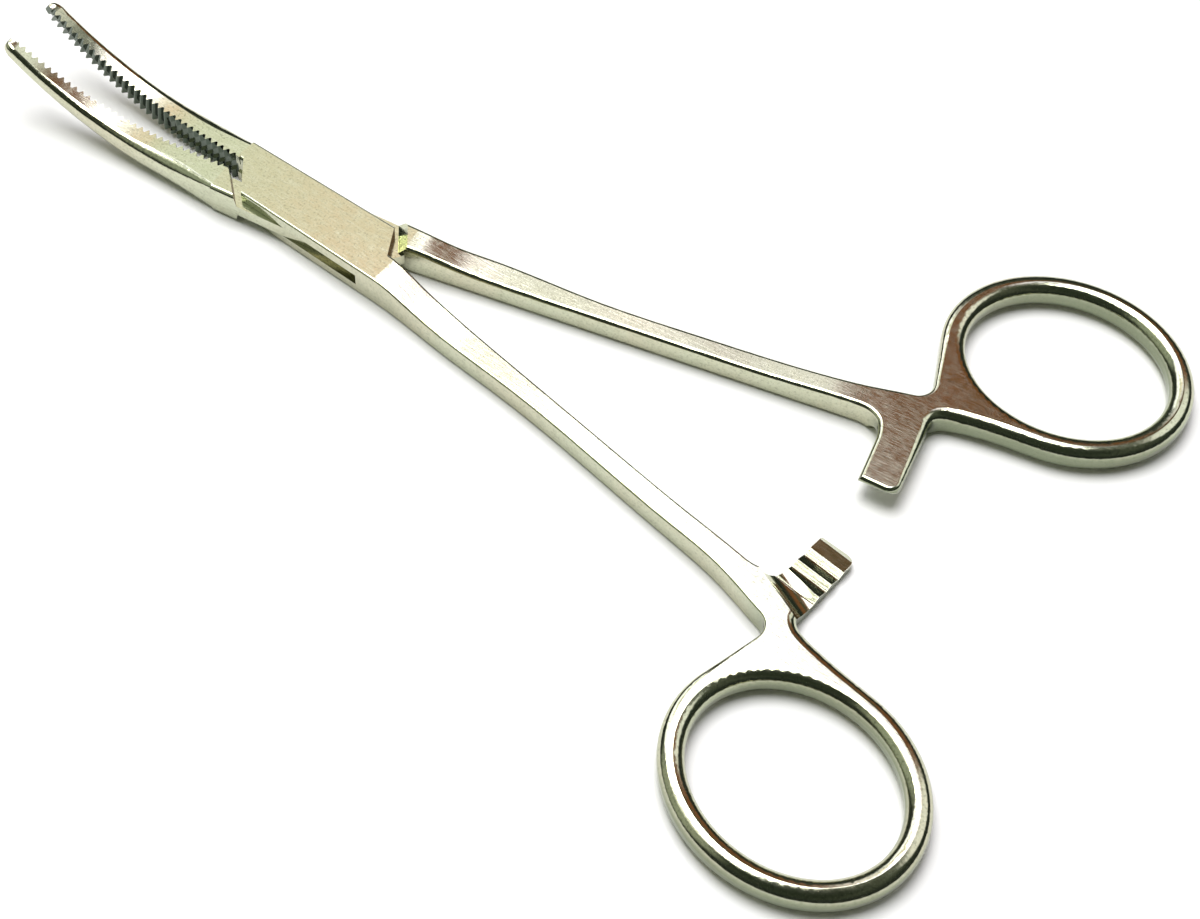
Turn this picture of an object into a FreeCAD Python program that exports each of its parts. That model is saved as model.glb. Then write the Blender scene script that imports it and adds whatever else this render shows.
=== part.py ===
import FreeCAD, Part
import math
import os
from FreeCAD import Vector

# Curved haemostatic forceps with a box lock, in millimetres.
# The origin is on the pivot axis at the underside of the lock, +X runs from the
# pivot to the finger rings and +Z runs up the pivot axis.
# Each half is drawn closed, with its jaw on the -Y side of the X axis and its ring
# on the +Y side. The box half is then mirrored, and both halves are turned open.

# Opening at rest
half_opening_deg = 4.8

# Box lock
lock_thickness = 4.2
lock_half_width = 3.5
box_ring_side_width = 4.0
box_jaw_side_front_width = 2.9
box_jaw_side_rear_width = 3.6
lock_edge_radius = 0.6
lock_front_x = -12.3
lock_rear_x = 9.9
lock_slant_front = 2.9
lock_slant_rear = 2.0
lock_side_end_x = 11.0
tongue_thickness = 1.5
tongue_gap = 0.04
slot_end_x = 8.4
slot_slant = 2.7
slot_end_gap = 0.15
slot_middle_step = 0.2
tongue_middle_step = 0.05
shoulder_gap = 0.2
front_shoulder_run = 0.25
rear_shoulder_run = 1.1
tongue_overlap = 2.4

# Pivot pin, riveted into countersinks and ground flush
pin_radius = 1.5
pin_head_radius = 1.8
pin_head_depth = 0.35
pin_gap = 0.04

# Jaws, set in a little so that their tips meet first
jaw_set_deg = 0.45
jaw_root_x = -13.2
jaw_root_overlap = 0.3
jaw_neck_run = 4.0
jaw_straight_length = 21.0
jaw_bend_radius = 40.0
jaw_bend_deg = 34.0
jaw_root_height = 3.85
jaw_root_rise = 1.93
tongue_jaw_root_width = 3.3
box_jaw_root_width = 3.05
jaw_root_radius = 1.2
jaw_tip_height = 1.65
jaw_tip_rise = 1.25
jaw_tip_width = 1.45
jaw_tip_radius = 0.6
jaw_tip_round = 1.2
jaw_taper_power = 1.1
jaw_corner_share = 0.8
mating_gap = 0.06

# Cross serrations of the jaws
tooth_pitch = 0.97
tooth_land = 0.14
tooth_root_flat = 0.2
tooth_depth = 0.5
tooth_root_margin = 0.5
tooth_tip_margin = 0.5

# Shanks
shank_inner_start = 0.05
shank_splay_deg = 6.95
shank_root_width = 3.45
shank_waist_width = 2.6
shank_neck_width = 3.9
shank_height = 2.95
shank_rise_length = 5.5
box_half_edge_radius = 0.3
tongue_half_edge_radius = 0.5

# Neck, finger rings and their place
neck_x = 70.0
neck_curve_radius = 2.0
neck_turn_deg = 92.0
ring_thickness = 3.45
ring_long_radius = 13.15
ring_short_radius = 11.15
ring_section_width = 2.85
ring_tilt_deg = 4.2
ring_offset_x = 13.5
ring_offset_y = 12.85
ring_edge_radius = 1.3
ring_blend_length = 8.5
web_start_deg = 192.0
web_end_deg = -88.0

# Ratchet arms
arm_front_x = 69.0
arm_width = 4.5
arm_reach = 2.2
arm_corner_radius = 1.4
arm_lean_slope = 0.06
arm_lean_root = 0.3
arm_lean_tip = 0.2
arm_front_run = 4.1
arm_front_rise = 3.7
arm_rear_rise = 2.1
arm_web_run = 1.6
arm_web_drop = 1.32
arm_web_slope = 0.22
ratchet_gap = 0.08
ratchet_pitch = 2.2
ratchet_count = 3
ratchet_depth = 0.45
ratchet_face_run = 0.85
ratchet_root_flat = 0.2
ratchet_tip_flat = 1.7
ratchet_tip_bevel = 0.7
ratchet_tip_run = 1.0
ratchet_slant_deg = 4.0
ratchet_tilt_deg = 5.0
riser_radius = 2.8
riser_overlap = 0.1
riser_slant_deg = 22.0
ratchet_cut_reach = 6.75

# Worked-out places
ground_z = 0.0
mid_z = lock_thickness / 2
lock_front_side_x = lock_front_x + lock_slant_front
lock_rear_side_x = lock_rear_x - lock_slant_rear
box_front_side_x = lock_front_x + lock_slant_front * box_ring_side_width / lock_half_width
box_rear_side_x = lock_rear_x - lock_slant_rear * box_jaw_side_rear_width / lock_half_width
slot_inner_x = slot_end_x + slot_slant
tongue_low_z = mid_z - tongue_thickness / 2
tongue_top_z = mid_z + tongue_thickness / 2
slot_low_z = tongue_low_z - tongue_gap
slot_top_z = tongue_top_z + tongue_gap
jaw_length = jaw_straight_length + jaw_bend_radius * math.radians(jaw_bend_deg)
ratchet_mid_z = ring_thickness / 2
far = 100.0
tolerance = 0.001


def polygon(points):
    """Closed face through a list of points."""
    return Part.Face(Part.makePolygon(list(points) + [points[0]]))


def direction(degrees):
    """Unit vector in plan at an angle from +X."""
    angle = math.radians(degrees)
    return Vector(math.cos(angle), math.sin(angle), 0)


def plate(plan_points, low_z, high_z):
    """Flat plate with a polygon plan between two heights."""
    face = polygon([Vector(x, y, low_z) for x, y in plan_points])
    return face.extrude(Vector(0, 0, high_z - low_z))


def smooth_edge(start, start_dir, end, end_dir, pull=0.36):
    """One curved edge that leaves and arrives along given directions."""
    reach = start.distanceToPoint(end) * pull
    out_dir = Vector(start_dir).normalize()
    in_dir = Vector(end_dir).normalize()
    curve = Part.BezierCurve()
    curve.setPoles([start, start + out_dir * reach, end - in_dir * reach, end])
    return curve.toShape()


def spline_edge(points, start_dir, end_dir):
    """One spline edge through points with given end directions."""
    curve = Part.BSplineCurve()
    curve.interpolate(Points=points, InitialTangent=start_dir, FinalTangent=end_dir)
    return curve.toShape()


def line_edge(start, end):
    """One straight edge."""
    return Part.LineSegment(start, end).toShape()


# Jaw centre line, measured forward from the pivot


def jaw_frame(length):
    """Centre point, forward direction and upward normal of the jaw at a length."""
    if length <= jaw_straight_length:
        return Vector(-length, 0, mid_z), Vector(-1, 0, 0), Vector(0, 0, 1)
    angle = (length - jaw_straight_length) / jaw_bend_radius
    point = Vector(
        -jaw_straight_length - jaw_bend_radius * math.sin(angle),
        0,
        mid_z + jaw_bend_radius * (1 - math.cos(angle)),
    )
    forward = Vector(-math.cos(angle), 0, math.sin(angle))
    normal = Vector(math.sin(angle), 0, math.cos(angle))
    return point, forward, normal


def between(low, high, share):
    """Value a share of the way from low to high."""
    return low + (high - low) * share


def jaw_size(length, neck_width, root_width):
    """Top, bottom (from the centre line), width and corner radius of a jaw section."""
    neck = -jaw_root_x
    root = neck + jaw_neck_run
    if length < root:
        share = (length - neck) / jaw_neck_run
        return (
            between(lock_thickness / 2, jaw_root_rise, share),
            between(-lock_thickness / 2, jaw_root_rise - jaw_root_height, share),
            between(neck_width, root_width, share),
            between(lock_edge_radius, jaw_root_radius, share),
        )
    share = (length - root) / (jaw_length - root)
    top = between(jaw_root_rise, jaw_tip_rise, share)
    height = between(jaw_tip_height, jaw_root_height, (1 - share) ** jaw_taper_power)
    return (
        top,
        top - height,
        between(root_width, jaw_tip_width, share),
        between(jaw_root_radius, jaw_tip_radius, share),
    )


def jaw_section(length, neck_width, root_width, share=1.0):
    """Closed wire: flat mating side, and an outer side with two rounded corners."""
    point, forward, normal = jaw_frame(length)
    top, low, width, radius = jaw_size(length, neck_width, root_width)
    middle = (top + low) / 2
    half = (top - low) / 2 * share
    top, low = middle + half, middle - half
    inner_y = mating_y()
    reach = width * share + inner_y
    radius = min(radius, half * jaw_corner_share, width * share * jaw_corner_share)
    knuckle = radius * (1 - math.sqrt(0.5))

    def place(outward, up):
        return point + Vector(0, inner_y - outward, 0) + normal * up

    corners = [place(0, low), place(reach - radius, low), place(reach, low + radius)]
    corners += [place(reach, top - radius), place(reach - radius, top), place(0, top)]
    low_arc = Part.Arc(corners[1], place(reach - knuckle, low + knuckle), corners[2])
    top_arc = Part.Arc(corners[3], place(reach - knuckle, top - knuckle), corners[4])
    return Part.Wire(
        [
            line_edge(corners[0], corners[1]),
            low_arc.toShape(),
            line_edge(corners[2], corners[3]),
            top_arc.toShape(),
            line_edge(corners[4], corners[5]),
            line_edge(corners[5], corners[0]),
        ]
    )


def mating_y():
    """Plane of the tooth crests: half a tooth past the middle, less half the gap."""
    return tooth_depth / 2 - mating_gap / 2


def jaw_blank(neck_width, root_width):
    """Jaw with a smooth mating side, from the lock to its rounded tip."""
    neck = -jaw_root_x
    root = neck + jaw_neck_run
    last = jaw_length - jaw_tip_round
    stations = [neck, between(neck, root, 0.5), root]
    spans = 4
    stations += [between(root, last, (step + 1) / spans) for step in range(spans)]
    widths = (neck_width, root_width)
    body = Part.makeLoft([jaw_section(length, *widths) for length in stations], True, False)
    stub = Part.Face(jaw_section(neck, *widths)).extrude(Vector(jaw_root_overlap, 0, 0))
    cap_shares = [(0.0, 1.0), (0.5, 0.93), (0.85, 0.76), (1.0, 0.55)]
    cap_wires = []
    for run, share in cap_shares:
        cap_wires.append(jaw_section(last + jaw_tip_round * run, *widths, share))
    cap = Part.makeLoft(cap_wires, True, False)
    return body.fuse([stub, cap])


def serration_cuts(phase):
    """Grooves across the mating side, and the plain stretches before and after them."""
    start = -jaw_root_x + tooth_root_margin
    count = int((jaw_length - tooth_tip_margin - start) / tooth_pitch)
    end = start + count * tooth_pitch
    mouth = (tooth_pitch - tooth_land) / 2
    floor = tooth_root_flat / 2
    flare = (mouth - floor) / tooth_depth
    over = tooth_depth
    plain_depth = mating_y() + mating_gap / 2

    def across(length, outline):
        point, forward, normal = jaw_frame(length)
        crest = point + Vector(0, mating_y(), 0) - normal * lock_thickness
        corners = [crest + forward * along - Vector(0, depth, 0) for along, depth in outline]
        return polygon(corners).extrude(normal * (2 * lock_thickness))

    groove = [
        (-mouth - flare * over, -over),
        (-floor, tooth_depth),
        (floor, tooth_depth),
        (mouth + flare * over, -over),
    ]
    cuts = [
        across(start + (index + phase) * tooth_pitch, groove)
        for index in range(count + 1)
        if index + phase <= count
    ]
    for place, reach in ((start, -start), (end, jaw_length)):
        plain = [(0, -over), (reach, -over), (reach, plain_depth), (0, plain_depth)]
        cuts.append(across(place, plain))
    return cuts


def jaw(neck_width, root_width, phase):
    """Serrated jaw, turned in about the pivot by its set."""
    return opened(jaw_blank(neck_width, root_width).cut(serration_cuts(phase)), -jaw_set_deg)


# Shank, neck, ratchet arm and finger ring, drawn as one outline


def shank_inner_y(x):
    """Inner edge of the shank."""
    return shank_inner_start + (x - lock_side_end_x) * math.tan(math.radians(shank_splay_deg))


def shank_outer_points(lock_side):
    """Points of the shank's outer edge between the lock's side and the neck."""
    widths = [
        (0.16, shank_root_width),
        (0.36, between(shank_root_width, shank_waist_width, 0.85)),
        (0.56, shank_waist_width),
        (0.76, between(shank_waist_width, shank_neck_width, 0.08)),
        (0.9, between(shank_waist_width, shank_neck_width, 0.3)),
    ]
    points = [lock_side]
    for share, width in widths:
        x = between(lock_side_end_x, neck_x, share)
        points.append(Vector(x, shank_inner_y(x) + width, 0))
    return points


def neck_arc():
    """Concave arc between the shank's outer edge and the ring."""
    start_deg = -90 + 2 * shank_splay_deg
    start = Vector(neck_x, shank_inner_y(neck_x) + shank_neck_width, 0)
    centre = start - direction(start_deg) * neck_curve_radius
    middle = centre + direction(start_deg + neck_turn_deg / 2) * neck_curve_radius
    end = centre + direction(start_deg + neck_turn_deg) * neck_curve_radius
    return start, middle, end, direction(start_deg + 90), direction(start_deg + neck_turn_deg + 90)


def ring_centre():
    """Middle of the finger ring in plan."""
    start = neck_arc()[0]
    return Vector(neck_x + ring_offset_x, start.y + ring_offset_y, 0)


def ring_oval(grow):
    """Ellipse at a distance outside (or inside) the ring's centre line."""
    centre = ring_centre()
    along = direction(ring_tilt_deg)
    across = direction(ring_tilt_deg + 90)
    long_end = centre + along * (ring_long_radius + grow)
    short_end = centre + across * (ring_short_radius + grow)
    return Part.Ellipse(long_end, short_end, centre)


def rear_outline(front_points):
    """Closed outline of lock side, shank, neck, ring and ratchet arm.

    front_points run from the shank's inner edge round to the outer side of the lock.
    """
    outer_oval = ring_oval(ring_section_width / 2)
    web_start = math.radians(web_start_deg)
    web_end = math.radians(web_end_deg)
    neck_start, neck_middle, neck_end, neck_in_dir, neck_out_dir = neck_arc()
    ring_start = outer_oval.value(web_start)
    ring_start_dir = outer_oval.tangent(web_start)[0] * -1
    ring_end = outer_oval.value(web_end)
    ring_end_dir = outer_oval.tangent(web_end)[0] * -1

    arm_rear_x = arm_front_x + arm_width
    web_y = ring_end.y - arm_web_drop
    web_corner = Vector(arm_rear_x + arm_web_run, web_y, 0)
    web_dir = Vector(-1, -arm_web_slope, 0)
    arm_root = Vector(arm_rear_x - arm_lean_root, web_y - arm_rear_rise, 0)
    arm_rear_dir = Vector(arm_lean_slope, -1, 0)
    arm_rear_tip = Vector(arm_rear_x + arm_lean_tip, arm_corner_radius - arm_reach, 0)
    tip_middle = arm_rear_tip + Vector(
        arm_corner_radius * (math.sqrt(0.5) - 1), -arm_corner_radius * math.sqrt(0.5), 0
    )
    arm_tip = arm_rear_tip + Vector(-arm_corner_radius, -arm_corner_radius, 0)
    arm_front_tip = Vector(arm_front_x + arm_lean_tip, -arm_reach, 0)
    inner_end_x = arm_front_x - arm_front_run
    inner_end = Vector(inner_end_x, shank_inner_y(inner_end_x), 0)
    arm_front_root = Vector(arm_front_x - arm_lean_tip, inner_end.y - arm_front_rise, 0)
    arm_front_dir = Vector(-arm_lean_slope, 1, 0)
    inner_dir = direction(shank_splay_deg) * -1

    shank_points = shank_outer_points(front_points[-1])
    front_edges = [line_edge(a, b) for a, b in zip(front_points[:-1], front_points[1:])]
    edges = front_edges + [
        spline_edge(shank_points + [neck_start], Vector(1, 0, 0), neck_in_dir),
        Part.Arc(neck_start, neck_middle, neck_end).toShape(),
        smooth_edge(neck_end, neck_out_dir, ring_start, ring_start_dir),
        Part.ArcOfEllipse(outer_oval, web_end, web_start).toShape(),
        smooth_edge(ring_end, ring_end_dir, web_corner, web_dir),
        smooth_edge(web_corner, web_dir, arm_root, arm_rear_dir, 0.45),
        smooth_edge(arm_root, arm_rear_dir, arm_rear_tip, arm_rear_dir),
        Part.Arc(arm_rear_tip, tip_middle, arm_tip).toShape(),
        line_edge(arm_tip, arm_front_tip),
        line_edge(arm_front_tip, arm_front_root),
        smooth_edge(arm_front_root, arm_front_dir, inner_end, inner_dir, 0.5),
        line_edge(inner_end, front_points[0]),
    ]
    outline = Part.Face(Part.Wire(edges))
    hole = Part.Face(Part.Wire([ring_oval(-ring_section_width / 2).toShape()]))
    return outline.cut(hole).Faces[0]


def side_profile():
    """Space between the top and bottom surfaces, seen from the side."""
    end_x = neck_x - shank_rise_length
    run = end_x - lock_side_end_x
    heights = [
        (0.0, lock_thickness),
        (0.09, between(lock_thickness, shank_height, 0.5)),
        (0.18, between(lock_thickness, shank_height, 0.88)),
        (0.35, shank_height),
        (0.65, shank_height),
        (0.84, between(shank_height, ring_thickness, 0.25)),
        (1.0, ring_thickness),
    ]
    top_points = [Vector(lock_side_end_x + run * share, 0, z) for share, z in heights]
    start_low = Vector(-far, 0, ground_z)
    start_top = Vector(-far, 0, lock_thickness)
    stop_top = Vector(neck_x + far, 0, ring_thickness)
    stop_low = Vector(neck_x + far, 0, ground_z)
    edges = [
        line_edge(start_low, start_top),
        line_edge(start_top, top_points[0]),
        spline_edge(top_points, Vector(1, 0, 0), Vector(1, 0, 0)),
        line_edge(top_points[-1], stop_top),
        line_edge(stop_top, stop_low),
        line_edge(stop_low, start_low),
    ]
    face = Part.Face(Part.Wire(edges))
    face.translate(Vector(0, -far, 0))
    return face.extrude(Vector(0, 2 * far, 0))


def edge_radius_at(point, small_radius):
    """Edge rounding: small on lock, shank and arm, growing to full on the ring."""
    neck_start = neck_arc()[0]
    on_shank = point.x < neck_start.x + tolerance and point.y < neck_start.y + tolerance
    if on_shank or point.y < neck_start.y - neck_curve_radius:
        return small_radius
    from_neck = math.hypot(point.x - neck_start.x, point.y - neck_start.y)
    share = min(1.0, from_neck / ring_blend_length)
    return between(small_radius, ring_edge_radius, share)


def round_edges(solid, sharp_lines, small_radius):
    """Round the top and bottom edges of a blank, except along the sharp lines."""
    chosen = []
    seam_x = (lock_side_end_x, neck_x - shank_rise_length)
    for number, edge in enumerate(solid.Edges, start=1):
        box = edge.BoundBox
        if box.ZLength > 0.9 * shank_height:
            continue
        middle = edge.valueAt((edge.FirstParameter + edge.LastParameter) / 2)
        if any(box.XLength < tolerance and abs(middle.x - x) < tolerance for x in seam_x):
            continue
        if any(near_line(middle, a, b) for a, b in sharp_lines):
            continue
        first = edge_radius_at(edge.valueAt(edge.FirstParameter), small_radius)
        last = edge_radius_at(edge.valueAt(edge.LastParameter), small_radius)
        chosen.append((number, first, last))
    document = FreeCAD.newDocument("rounding")
    blank = document.addObject("Part::Feature", "blank")
    blank.Shape = solid
    rounded = document.addObject("Part::Fillet", "rounded")
    rounded.Base = blank
    rounded.Edges = chosen
    document.recompute()
    result = rounded.Shape.copy()
    FreeCAD.closeDocument(document.Name)
    return result


def near_line(point, start, end):
    """True where a point lies in plan on the line through two points."""
    along = Vector(end.x - start.x, end.y - start.y, 0)
    offset = Vector(point.x - start.x, point.y - start.y, 0)
    return abs(along.cross(offset).z) / along.Length < tolerance


def rear_blank(front_points, sharp_lines, small_radius):
    """Rounded blank from the lock to the finger ring."""
    face = rear_outline(front_points)
    height = max(lock_thickness, ring_thickness)
    solid = face.extrude(Vector(0, 0, height)).common(side_profile())
    return round_edges(solid.Solids[0], sharp_lines, small_radius)


# Ratchet


def ratchet_profile():
    """Tooth line along the arm, as (y, height above the tooth roots)."""
    tip = -arm_reach - ratchet_tip_run
    bevel_y = -arm_reach + ratchet_tip_bevel
    crest_y = bevel_y + ratchet_tip_flat
    points = [(tip, -ratchet_tip_bevel), (bevel_y, ratchet_depth), (crest_y, ratchet_depth)]
    for index in range(ratchet_count):
        face_y = crest_y + index * ratchet_pitch
        points.append((face_y + ratchet_face_run, 0.0))
        if index < ratchet_count - 1:
            points.append((face_y + ratchet_pitch, ratchet_depth))
    root_y = points[-1][0] + ratchet_root_flat
    points.append((root_y, 0.0))
    return points


def ratchet_cutter():
    """Space above the lower arm: teeth that fall towards the tip, and a concave riser."""
    points = ratchet_profile()
    root_y = points[-1][0]
    floor_z = ratchet_mid_z - ratchet_gap / 2 - ratchet_depth
    middle_x = arm_front_x + arm_width / 2
    start_x = middle_x - ratchet_cut_reach
    corners = [Vector(start_x, y, floor_z + rise) for y, rise in points]
    corners.append(Vector(start_x, root_y, far))
    corners.append(Vector(start_x, points[0][0], far))
    teeth = polygon(corners).extrude(Vector(2 * ratchet_cut_reach, 0, 0))
    pivot = Vector(middle_x, root_y, floor_z)
    teeth.rotate(pivot, Vector(1, 0, 0), ratchet_tilt_deg)
    teeth.rotate(pivot, Vector(0, 0, 1), ratchet_slant_deg)
    axis = direction(riser_slant_deg)
    middle = Vector(middle_x, root_y - riser_overlap, floor_z + riser_radius)
    base = middle - axis * ratchet_cut_reach
    riser = Part.makeCylinder(riser_radius, 2 * ratchet_cut_reach, base, axis)
    return teeth.fuse(riser)


# Lock details


def shoulder_cutter(side_point, centre_point, run, upward):
    """Removes what lies over (or under) the tongue, up to a slanted shoulder."""
    along = Vector(centre_point - side_point).normalize()
    outward = Vector(along.y, -along.x, 0)
    if outward.x * side_point.x < 0:
        outward = outward * -1
    start = side_point - along * far
    if upward:
        face_z, far_z = tongue_top_z, tongue_top_z + lock_thickness
    else:
        face_z, far_z = tongue_low_z, tongue_low_z - lock_thickness
    rise = lock_thickness - tongue_top_z
    far_run = run * abs(far_z - face_z) / rise
    corners = [
        start - outward * far + Vector(0, 0, face_z),
        start + Vector(0, 0, face_z),
        start + outward * far_run + Vector(0, 0, far_z),
        start - outward * far + Vector(0, 0, far_z),
    ]
    return polygon(corners).extrude(along * (2 * far))


def slot():
    """Slot through the box half for the tongue, drawn closed like every half."""
    reach = 2 * lock_half_width
    width = lock_half_width
    front_x = 2 * lock_front_x
    rear_x = 2 * lock_rear_x
    side = [
        (front_x, reach),
        (slot_end_x, reach),
        (slot_end_x, width),
        (slot_inner_x, slot_middle_step),
        (rear_x, slot_middle_step),
        (rear_x, -reach),
        (-slot_end_x, -reach),
        (-slot_end_x, -width),
        (-slot_inner_x, -slot_middle_step),
        (front_x, 0.0),
    ]
    return plate(side, slot_low_z, slot_top_z)


def tongue():
    """Thin tongue that passes through the slot."""
    width = lock_half_width
    end_x = slot_end_x - slot_end_gap
    inner_x = slot_inner_x - slot_end_gap
    front_x = lock_front_x
    rear_x = lock_rear_x
    points = [
        (front_x, -tongue_middle_step),
        (front_x, -width + lock_edge_radius),
        (lock_front_side_x - shoulder_gap - front_shoulder_run, -width),
        (end_x, -width),
        (inner_x, slot_middle_step / 2),
        (rear_x + tongue_overlap, shank_inner_y(rear_x + tongue_overlap) + tongue_half_edge_radius),
        (rear_x + tongue_overlap, width),
        (-end_x, width),
        (-inner_x, -tongue_middle_step),
    ]
    return plate(points, tongue_low_z, tongue_top_z)


def pin_solid():
    """Pivot pin with its two riveted heads."""
    top = lock_thickness
    profile = [
        Vector(0, 0, 0),
        Vector(pin_head_radius, 0, 0),
        Vector(pin_radius, 0, pin_head_depth),
        Vector(pin_radius, 0, top - pin_head_depth),
        Vector(pin_head_radius, 0, top),
        Vector(0, 0, top),
    ]
    return polygon(profile).revolve(Vector(0, 0, 0), Vector(0, 0, 1), 360)


def as_solid(shape):
    """The single solid in a result, with needless seams removed."""
    merged = shape.removeSplitter()
    return max(merged.Solids, key=lambda solid: solid.Volume)


def box_half():
    """Half with the box: two cheeks round the slot, jaw, shank, lower arm, ring."""
    rear = Vector(lock_rear_x, 0, 0)
    rear_side = Vector(box_rear_side_x, -box_jaw_side_rear_width, 0)
    root_side = Vector(jaw_root_x, -box_jaw_side_front_width, 0)
    root = Vector(jaw_root_x, 0, 0)
    front = Vector(lock_front_x, 0, 0)
    front_side = Vector(box_front_side_x, box_ring_side_width, 0)
    front_points = [
        Vector(lock_side_end_x, shank_inner_start, 0),
        rear,
        rear_side,
        root_side,
        root,
        front,
        front_side,
        Vector(lock_side_end_x, box_ring_side_width, 0),
    ]
    sharp_lines = [(front_points[0], rear), (rear, rear_side), (root_side, root), (front, front_side)]
    body = rear_blank(front_points, sharp_lines, box_half_edge_radius)
    body = body.fuse(jaw(box_jaw_side_front_width, box_jaw_root_width, 0.0))
    body = body.cut([slot(), pin_solid(), ratchet_cutter()])
    return as_solid(body)


def tongue_half():
    """Half with the tongue: jaw, thin tongue, shank, upper arm, ring."""
    width = lock_half_width
    rear_side = Vector(lock_rear_side_x + shoulder_gap, width, 0)
    rear_centre = Vector(lock_rear_x + shoulder_gap, 0, 0)
    inner_x = lock_rear_x + shoulder_gap
    front_points = [
        Vector(inner_x, shank_inner_y(inner_x), 0),
        rear_side,
        Vector(lock_side_end_x, width, 0),
    ]
    sharp_lines = [(front_points[0], rear_side)]
    rear = rear_blank(front_points, sharp_lines, tongue_half_edge_radius)
    rear = rear.cut(
        [
            shoulder_cutter(rear_side, rear_centre, rear_shoulder_run, True),
            shoulder_cutter(rear_side, rear_centre, rear_shoulder_run, False),
            flipped(ratchet_cutter()),
        ]
    )
    front = front_block().fuse(jaw(width, tongue_jaw_root_width, 0.5))
    body = rear.fuse([front, tongue()])
    bore = Part.makeCylinder(pin_radius + pin_gap, lock_thickness)
    return as_solid(body.cut(bore))


def front_block():
    """Full-height root of the jaw on the tongue half, up to its front shoulder."""
    width = lock_half_width
    side = Vector(lock_front_side_x - shoulder_gap, -width, 0)
    centre = Vector(lock_front_x - shoulder_gap, 0, 0)
    points = [
        (jaw_root_x, -mating_gap / 2),
        (jaw_root_x, -width),
        (side.x, side.y),
        (centre.x, -mating_gap / 2),
    ]
    block = plate(points, ground_z, lock_thickness)
    edges = []
    for edge in block.Edges:
        box = edge.BoundBox
        if box.ZLength < tolerance and box.YLength < tolerance and box.YMax < -width + tolerance:
            edges.append(edge)
    block = block.makeFillet(lock_edge_radius, edges)
    return block.cut(
        [
            shoulder_cutter(side, centre, front_shoulder_run, True),
            shoulder_cutter(side, centre, front_shoulder_run, False),
        ]
    )


def flipped(shape):
    """Shape turned upside down about the middle of the ring's thickness."""
    return shape.mirror(Vector(0, 0, ratchet_mid_z), Vector(0, 0, 1))


def opened(shape, degrees):
    """Shape turned about the pivot axis."""
    turned = shape.copy()
    turned.rotate(Vector(0, 0, 0), Vector(0, 0, 1), degrees)
    return turned


def build():
    """Every node's solid in the rest pose."""
    box_side = box_half().mirror(Vector(0, 0, 0), Vector(0, 1, 0))
    return {
        "box_half": opened(box_side, -half_opening_deg),
        "tongue_half": opened(tongue_half(), half_opening_deg),
        "pivot_pin": pin_solid(),
    }


os.makedirs("parts", exist_ok=True)
for node, solid in build().items():
    solid.exportStep("parts/" + node + ".step")
    print(node, solid.ShapeType, solid.isValid(), round(solid.Volume, 2), len(solid.Faces))
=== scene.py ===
import math
import bpy
from mathutils import Matrix, Vector

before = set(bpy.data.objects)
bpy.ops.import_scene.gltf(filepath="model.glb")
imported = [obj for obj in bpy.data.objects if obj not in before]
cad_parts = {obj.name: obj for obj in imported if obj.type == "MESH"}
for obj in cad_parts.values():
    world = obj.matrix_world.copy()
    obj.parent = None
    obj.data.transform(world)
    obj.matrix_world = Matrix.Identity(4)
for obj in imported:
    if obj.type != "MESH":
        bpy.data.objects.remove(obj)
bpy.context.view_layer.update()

# Camera, solved from the photo's perspective, in metres, degrees and pixels
camera_azimuth_deg = 28.85
camera_elevation_deg = 55.94
camera_roll_deg = 4.78
camera_distance = 0.2401
camera_target = Vector((0.04442, -0.00952, 0.002))
focal_length_px = 2209.8
image_width_px = 1200
sensor_width_mm = 36.0

# Each half's turn from the middle line at rest, and its jaw's
half_turn_deg = 4.8
jaw_turn_deg = 4.35

# Serrated stretch of the jaws, ahead of the lock. Its walls are the faces whose
# normal's upright part is smaller than these limits, and they get a painted shade.
jaw_start_x = -0.0134
jaw_start_fade = 0.0001
groove_reach = 0.00031
groove_fade = 0.00004
groove_wall_limits = (0.45, 0.75)

# Finger rings, whose upright sides get a painted shade: a darker colour standing in for the darker
# reflection they catch
ring_start_x = 0.064
ring_full_x = 0.073
ring_side_limits = (0.15, 0.75)

# Ratchet arms, where the edges of the teeth are rougher as if worn and carry a painted highlight
arm_start_x = 0.0665
arm_side_y = 0.0122
arm_fade = 0.0004
edge_reach = 0.00013
edge_limits = (0.93, 0.995)

# Colours of the steel, and how much of each shows at most
green_steel = (0.55, 0.575, 0.42, 1)
warm_steel = (0.58, 0.56, 0.41, 1)
mottle_colour = (0.46, 0.47, 0.33, 1)
mottle_share = 0.5
grain_colour = (0.68, 0.69, 0.56, 1)
grain_share = 0.4
fleck_colour = (0.3, 0.31, 0.22, 1)
fleck_share = 0.55
# Painted shade: dark olive laid on the ring sides in place of the darker reflection they catch
painted_ring_side_shade_colour = (0.15, 0.18, 0.11, 1)
painted_ring_side_shade_share = 0.8
# Painted shade: near-black laid on the serration walls in place of the shade in the grooves
painted_groove_shade_colour = (0.05, 0.075, 0.06, 1)
painted_groove_shade_share = 0.9
# Painted highlight: near-white laid on the ratchet arm edges in place of glints
painted_edge_highlight_colour = (0.95, 0.95, 0.85, 1)
painted_edge_highlight_share = 0.9

# Scales of the steel's noises, with the grain and the scratches drawn out lengthwise
grain_scale = (700.0, 9000.0, 9000.0)
scratch_scale = (160.0, 4200.0, 4200.0)
scratch_turn_deg = 3.0
mottle_scale = 900.0
speckle_scale = 3600.0
cloud_scale = 85.0

# Roughness and bump of the steel
smooth_grain = 0.08
rough_grain = 0.14
mottle_roughness = 0.05
worn_roughness = 0.4
grain_height = 0.6
scratch_height = 0.7
mottle_height = 0.5
bump_strength = 0.26
bump_depth = 0.00002

# Floor
floor_size = 3.0
floor_z = -0.00004
floor_colour = (0.97, 0.965, 0.96, 1.0)

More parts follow.
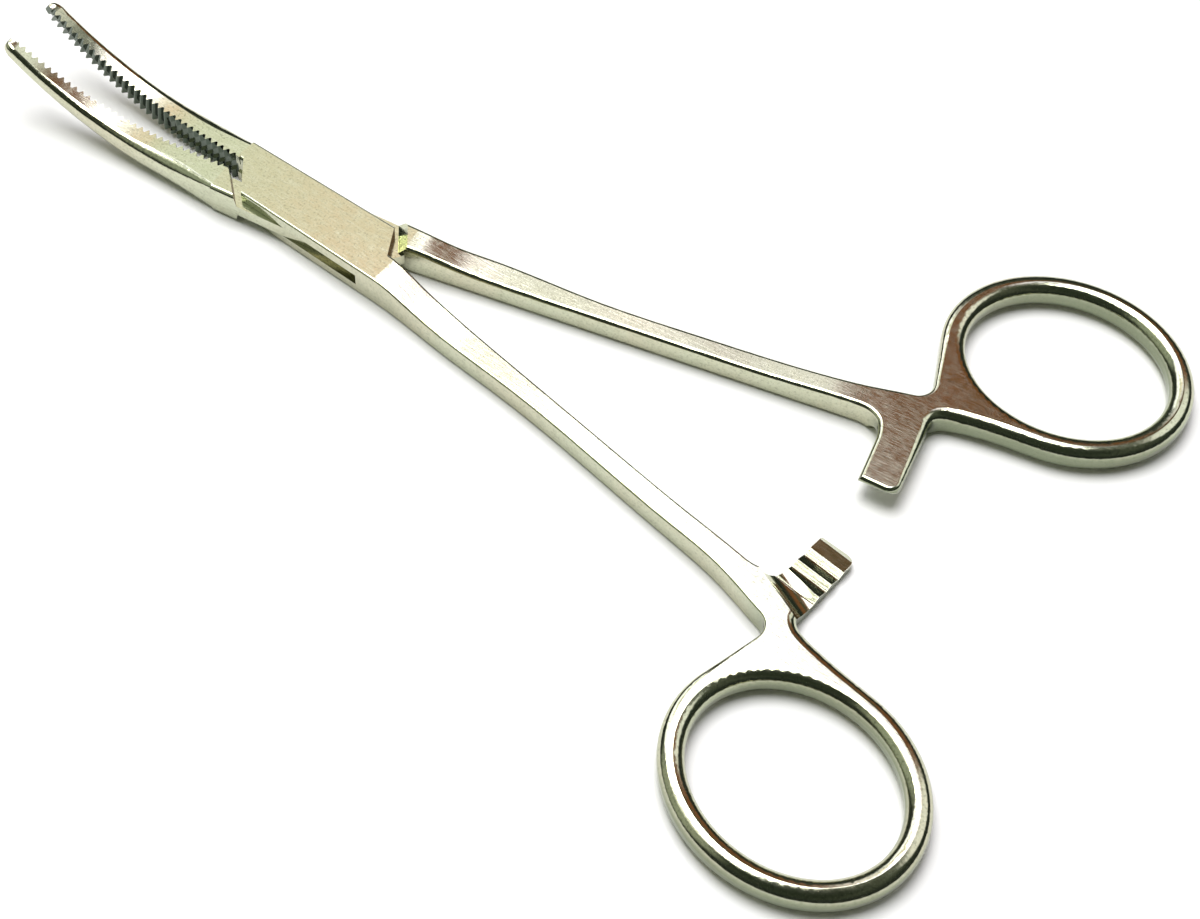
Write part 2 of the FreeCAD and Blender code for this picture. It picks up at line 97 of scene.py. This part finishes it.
# Lamp, and the point it faces
lamp_azimuth_deg = 60
lamp_elevation_deg = 77
lamp_distance = 0.8
lamp_size = 0.5
lamp_power = 6.2
lamp_aim = Vector((0.03, 0, 0))

# Room that the steel reflects, from its low sides to overhead
room_low_colour = (0.025, 0.032, 0.025, 1)
room_high_colour = (0.1, 0.115, 0.085, 1)
room_low_height = 0.2
room_high_height = 0.9


def unit_direction(azimuth_deg, elevation_deg):
    """Direction from the object, with azimuth counted from +Y towards -X."""
    azimuth = math.radians(azimuth_deg)
    elevation = math.radians(elevation_deg)
    flat = math.cos(elevation)
    return Vector((-math.sin(azimuth) * flat, math.cos(azimuth) * flat, math.sin(elevation)))


# Small helpers for node trees


class Tree:
    """Adds nodes and links to a node tree in few words."""

    def __init__(self, owner):
        owner.use_nodes = True
        self.tree = owner.node_tree
        self.tree.nodes.clear()

    def add(self, kind, inputs=None, **settings):
        node = self.tree.nodes.new(kind)
        for name, value in settings.items():
            setattr(node, name, value)
        for name, value in (inputs or {}).items():
            self.feed(node.inputs[name], value)
        return node

    def feed(self, socket, value):
        if isinstance(value, bpy.types.NodeSocket):
            self.tree.links.new(value, socket)
        else:
            socket.default_value = value

    def math(self, operation, first, second=0.0):
        return self.add("ShaderNodeMath", {0: first, 1: second}, operation=operation).outputs[0]

    def mix(self, share, first, second):
        node = self.add("ShaderNodeMix", data_type="RGBA")
        self.feed(node.inputs[0], share)
        self.feed(node.inputs[6], first)
        self.feed(node.inputs[7], second)
        return node.outputs[2]

    def spread(self, value, low, high, to_low=0.0, to_high=1.0):
        """Value mapped smoothly from one range to another."""
        node = self.add("ShaderNodeMapRange", interpolation_type="SMOOTHSTEP")
        for index, number in enumerate((value, low, high, to_low, to_high)):
            self.feed(node.inputs[index], number)
        return node.outputs[0]

    def split(self, vector):
        """The three numbers of a vector."""
        return self.add("ShaderNodeSeparateXYZ", {0: vector}).outputs

    def noise(self, vector, scale, detail=3.0, roughness=0.55):
        inputs = {"Vector": vector, "Scale": scale, "Detail": detail, "Roughness": roughness}
        return self.add("ShaderNodeTexNoise", inputs).outputs["Fac"]

    def stretched(self, vector, scale, turn_deg=0.0):
        """Coordinates turned about Z and scaled by a different amount along each axis."""
        turned = self.add("ShaderNodeMapping", {"Vector": vector})
        turned.inputs["Rotation"].default_value = (0, 0, math.radians(turn_deg))
        scaled = self.add("ShaderNodeMapping", {"Vector": turned.outputs[0]})
        scaled.inputs["Scale"].default_value = scale
        return scaled.outputs[0]


def walls(nodes, limits):
    """Share that is 1 on upright faces and 0 on flat ones."""
    up = nodes.split(nodes.add("ShaderNodeTexCoord").outputs["Normal"])[2]
    return nodes.spread(nodes.math("ABSOLUTE", up), *limits, 1.0, 0.0)


def jaw_groove_shade(nodes, place, turn_deg):
    """Share that is 1 on the walls of the serrations, which lie along one plane, where the painted
    shade goes.
    """
    along, across, _ = nodes.split(nodes.stretched(place, (1, 1, 1), turn_deg))
    beside = nodes.math("ABSOLUTE", across)
    near = nodes.spread(beside, groove_reach, groove_reach + groove_fade, 1.0, 0.0)
    ahead = nodes.spread(along, jaw_start_x - jaw_start_fade, jaw_start_x, 1.0, 0.0)
    wall = walls(nodes, groove_wall_limits)
    return nodes.math("MULTIPLY", wall, nodes.math("MULTIPLY", near, ahead))


def ring_side_shade(nodes, place):
    """Share that is 1 on the upright sides of the finger rings, where the painted shade goes."""
    along = nodes.split(place)[0]
    side_shade_mask = walls(nodes, ring_side_limits)
    return nodes.math("MULTIPLY", side_shade_mask, nodes.spread(along, ring_start_x, ring_full_x))


def worn_and_highlit_edges(nodes, place):
    """Share that is 1 along the sharp edges of the ratchet arms, which are made rougher as if worn and
    given a painted highlight.
    """
    eased = nodes.add("ShaderNodeBevel", {"Radius": edge_reach}, samples=6).outputs[0]
    face = nodes.add("ShaderNodeNewGeometry").outputs["Normal"]
    meeting = nodes.add("ShaderNodeVectorMath", {0: eased, 1: face}, operation="DOT_PRODUCT")
    edge = nodes.spread(meeting.outputs["Value"], *edge_limits, 1.0, 0.0)
    along, across, _ = nodes.split(place)
    behind = nodes.spread(along, arm_start_x, arm_start_x + arm_fade)
    beside = nodes.math("ABSOLUTE", across)
    middle = nodes.spread(beside, arm_side_y - arm_fade, arm_side_y, 1.0, 0.0)
    return nodes.math("MULTIPLY", edge, nodes.math("MULTIPLY", behind, middle))


def steel(name, turn_deg, groove_turn_deg):
    """Satin stainless steel with a fine grain along the half's own length, painted shade on the ring
    sides and serration walls, and a painted highlight on the ratchet arm edges.
    """
    material = bpy.data.materials.new(name)
    nodes = Tree(material)
    place = nodes.add("ShaderNodeTexCoord").outputs["Object"]
    grain_place = nodes.stretched(place, grain_scale, turn_deg)
    scratch_place = nodes.stretched(place, scratch_scale, turn_deg + scratch_turn_deg)
    grain = nodes.noise(grain_place, 1.0, 4.0, 0.6)
    scratch = nodes.noise(scratch_place, 1.0, 3.0, 0.5)
    mottle = nodes.noise(place, mottle_scale, 4.0, 0.62)
    speckle = nodes.noise(place, speckle_scale, 2.0, 0.6)
    cloud = nodes.noise(place, cloud_scale, 3.0, 0.5)

    colour = nodes.mix(nodes.spread(cloud, 0.38, 0.66), green_steel, warm_steel)
    colour = nodes.mix(nodes.spread(mottle, 0.35, 0.7, 0.0, mottle_share), colour, mottle_colour)
    colour = nodes.mix(nodes.spread(grain, 0.42, 0.72, 0.0, grain_share), colour, grain_colour)
    colour = nodes.mix(nodes.spread(speckle, 0.5, 0.72, 0.0, fleck_share), colour, fleck_colour)
    # Painted shade on the upright sides of the finger rings
    side_shade_mask = nodes.math("MULTIPLY", ring_side_shade(nodes, place), painted_ring_side_shade_share)
    colour = nodes.mix(side_shade_mask, colour, painted_ring_side_shade_colour)
    # Painted shade on the walls of the jaw serrations
    groove_shade_share = nodes.math("MULTIPLY", jaw_groove_shade(nodes, place, groove_turn_deg), painted_groove_shade_share)
    colour = nodes.mix(groove_shade_share, colour, painted_groove_shade_colour)
    # Painted highlight on the ratchet arm edges, whose roughness below also rises as if worn
    worn_and_highlight = worn_and_highlit_edges(nodes, place)
    colour = nodes.mix(nodes.math("MULTIPLY", worn_and_highlight, painted_edge_highlight_share), colour, painted_edge_highlight_colour)

    rough = nodes.math(
        "ADD",
        nodes.spread(grain, 0.3, 0.7, smooth_grain, rough_grain),
        nodes.spread(mottle, 0.3, 0.7, 0.0, mottle_roughness),
    )
    rough = nodes.math("ADD", rough, nodes.math("MULTIPLY", worn_and_highlight, worn_roughness))
    fine_height = nodes.math(
        "ADD",
        nodes.math("MULTIPLY", scratch, scratch_height),
        nodes.math("MULTIPLY", mottle, mottle_height),
    )
    height = nodes.math("ADD", nodes.math("MULTIPLY", grain, grain_height), fine_height)
    bump = nodes.add(
        "ShaderNodeBump",
        {"Height": height, "Strength": bump_strength, "Distance": bump_depth},
    )
    shader = nodes.add(
        "ShaderNodeBsdfPrincipled",
        {"Base Color": colour, "Metallic": 1.0, "Roughness": rough, "Normal": bump.outputs[0]},
    )
    nodes.add("ShaderNodeOutputMaterial", {"Surface": shader.outputs[0]})
    return material


def dress(node, material):
    """Gives a CAD node its material."""
    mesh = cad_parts[node].data
    mesh.materials.clear()
    mesh.materials.append(material)


dress("box_half", steel("box_half_satin_steel", half_turn_deg, jaw_turn_deg))
dress("tongue_half", steel("tongue_half_satin_steel", -half_turn_deg, -jaw_turn_deg))
dress("pivot_pin", steel("pin_satin_steel", half_turn_deg, jaw_turn_deg))


# Floor


def build_floor():
    """Plain pale floor that keeps the object's shadow and looks white to the camera."""
    half = floor_size / 2
    plan = [(-half, -half), (half, -half), (half, half), (-half, half)]
    corners = [(x, y, floor_z) for x, y in plan]
    mesh = bpy.data.meshes.new("floor")
    mesh.from_pydata(corners, [], [(0, 1, 2, 3)])
    floor = bpy.data.objects.new("floor", mesh)
    bpy.context.scene.collection.objects.link(floor)
    material = bpy.data.materials.new("floor_white")
    nodes = Tree(material)
    diffuse = nodes.add("ShaderNodeBsdfDiffuse", {"Color": floor_colour})
    nodes.add("ShaderNodeOutputMaterial", {"Surface": diffuse.outputs[0]})
    mesh.materials.append(material)


build_floor()


# Patches of the room, each as azimuth, elevation, the angles from its middle where it
# is full and where it ends, and its colour. A later patch lies over an earlier one.
world_patches = [
    (200, 62, 22, 42, (0.035, 0.045, 0.03, 1)),
    (122, 34, 16, 34, (0.42, 0.46, 0.36, 1)),
    (104, 63, 9, 16, (1.4, 1.42, 1.3, 1)),
    (33, 57, 12, 19, (1.34, 1.27, 1.38, 1)),
    (60, 42, 13, 20, (2.1, 2.1, 2.3, 1)),
    (17, 65, 7, 14, (2.1, 2.0, 2.5, 1)),
    (45, 48, 6, 10, (1.1, 1.12, 0.97, 1)),
    (39, 51, 2, 5, (1.25, 1.02, 0.84, 1)),
    (-2, 44, 17, 19.5, (0.25, 0.1, 0.04, 1)),
    (5, 47, 3.5, 7, (0.1, 0.1, 0.06, 1)),
    (-36, 44, 12, 20, (1.3, 1.3, 1.3, 1)),
]


def build_world():
    """Dim green-grey room with soft patches: white, cream, brown, olive and dark ones."""
    world = bpy.data.worlds.new("studio")
    bpy.context.scene.world = world
    nodes = Tree(world)
    way = nodes.add("ShaderNodeTexCoord").outputs["Generated"]
    height = nodes.split(way)[2]
    upward = nodes.spread(height, room_low_height, room_high_height)
    colour = nodes.mix(upward, room_low_colour, room_high_colour)

    for azimuth_deg, elevation_deg, inner_deg, outer_deg, patch_colour in world_patches:
        toward = unit_direction(azimuth_deg, elevation_deg)
        facing = nodes.add("ShaderNodeVectorMath", {0: way, 1: tuple(toward)}, operation="DOT_PRODUCT")
        inner = math.cos(math.radians(inner_deg))
        outer = math.cos(math.radians(outer_deg))
        share = nodes.spread(facing.outputs["Value"], outer, inner)
        colour = nodes.mix(share, colour, patch_colour)
    background = nodes.add("ShaderNodeBackground", {"Color": colour, "Strength": 1.0})
    nodes.add("ShaderNodeOutputWorld", {"Surface": background.outputs[0]})


build_world()


# Lamp


def build_lamp():
    """Square soft lamp that faces the object."""
    data = bpy.data.lights.new("key_lamp", "AREA")
    data.size = lamp_size
    data.energy = lamp_power
    lamp = bpy.data.objects.new("key_lamp", data)
    toward = unit_direction(lamp_azimuth_deg, lamp_elevation_deg)
    lamp.location = lamp_aim + toward * lamp_distance
    lamp.rotation_euler = toward.to_track_quat("Z", "Y").to_euler()
    bpy.context.scene.collection.objects.link(lamp)


build_lamp()


# Camera


def build_camera():
    """Camera at the photo's angle, with its roll and perspective."""
    azimuth = math.radians(camera_azimuth_deg)
    elevation = math.radians(camera_elevation_deg)
    roll = math.radians(camera_roll_deg)
    back = Vector(
        (
            math.sin(azimuth) * math.cos(elevation),
            -math.cos(azimuth) * math.cos(elevation),
            math.sin(elevation),
        )
    )
    right = (-back).cross(Vector((0, 0, 1))).normalized()
    up = right.cross(-back)
    rolled_right = right * math.cos(roll) + up * math.sin(roll)
    rolled_up = up * math.cos(roll) - right * math.sin(roll)
    data = bpy.data.cameras.new("photo_camera")
    data.sensor_width = sensor_width_mm
    data.lens = focal_length_px / image_width_px * sensor_width_mm
    data.clip_start = 0.01
    data.clip_end = 10.0
    camera = bpy.data.objects.new("photo_camera", data)
    turn = Matrix((rolled_right, rolled_up, back)).transposed().to_4x4()
    camera.matrix_world = Matrix.Translation(camera_target + back * camera_distance) @ turn
    bpy.context.scene.collection.objects.link(camera)
    bpy.context.scene.camera = camera


build_camera()
bpy.context.scene.view_settings.view_transform = "Standard"
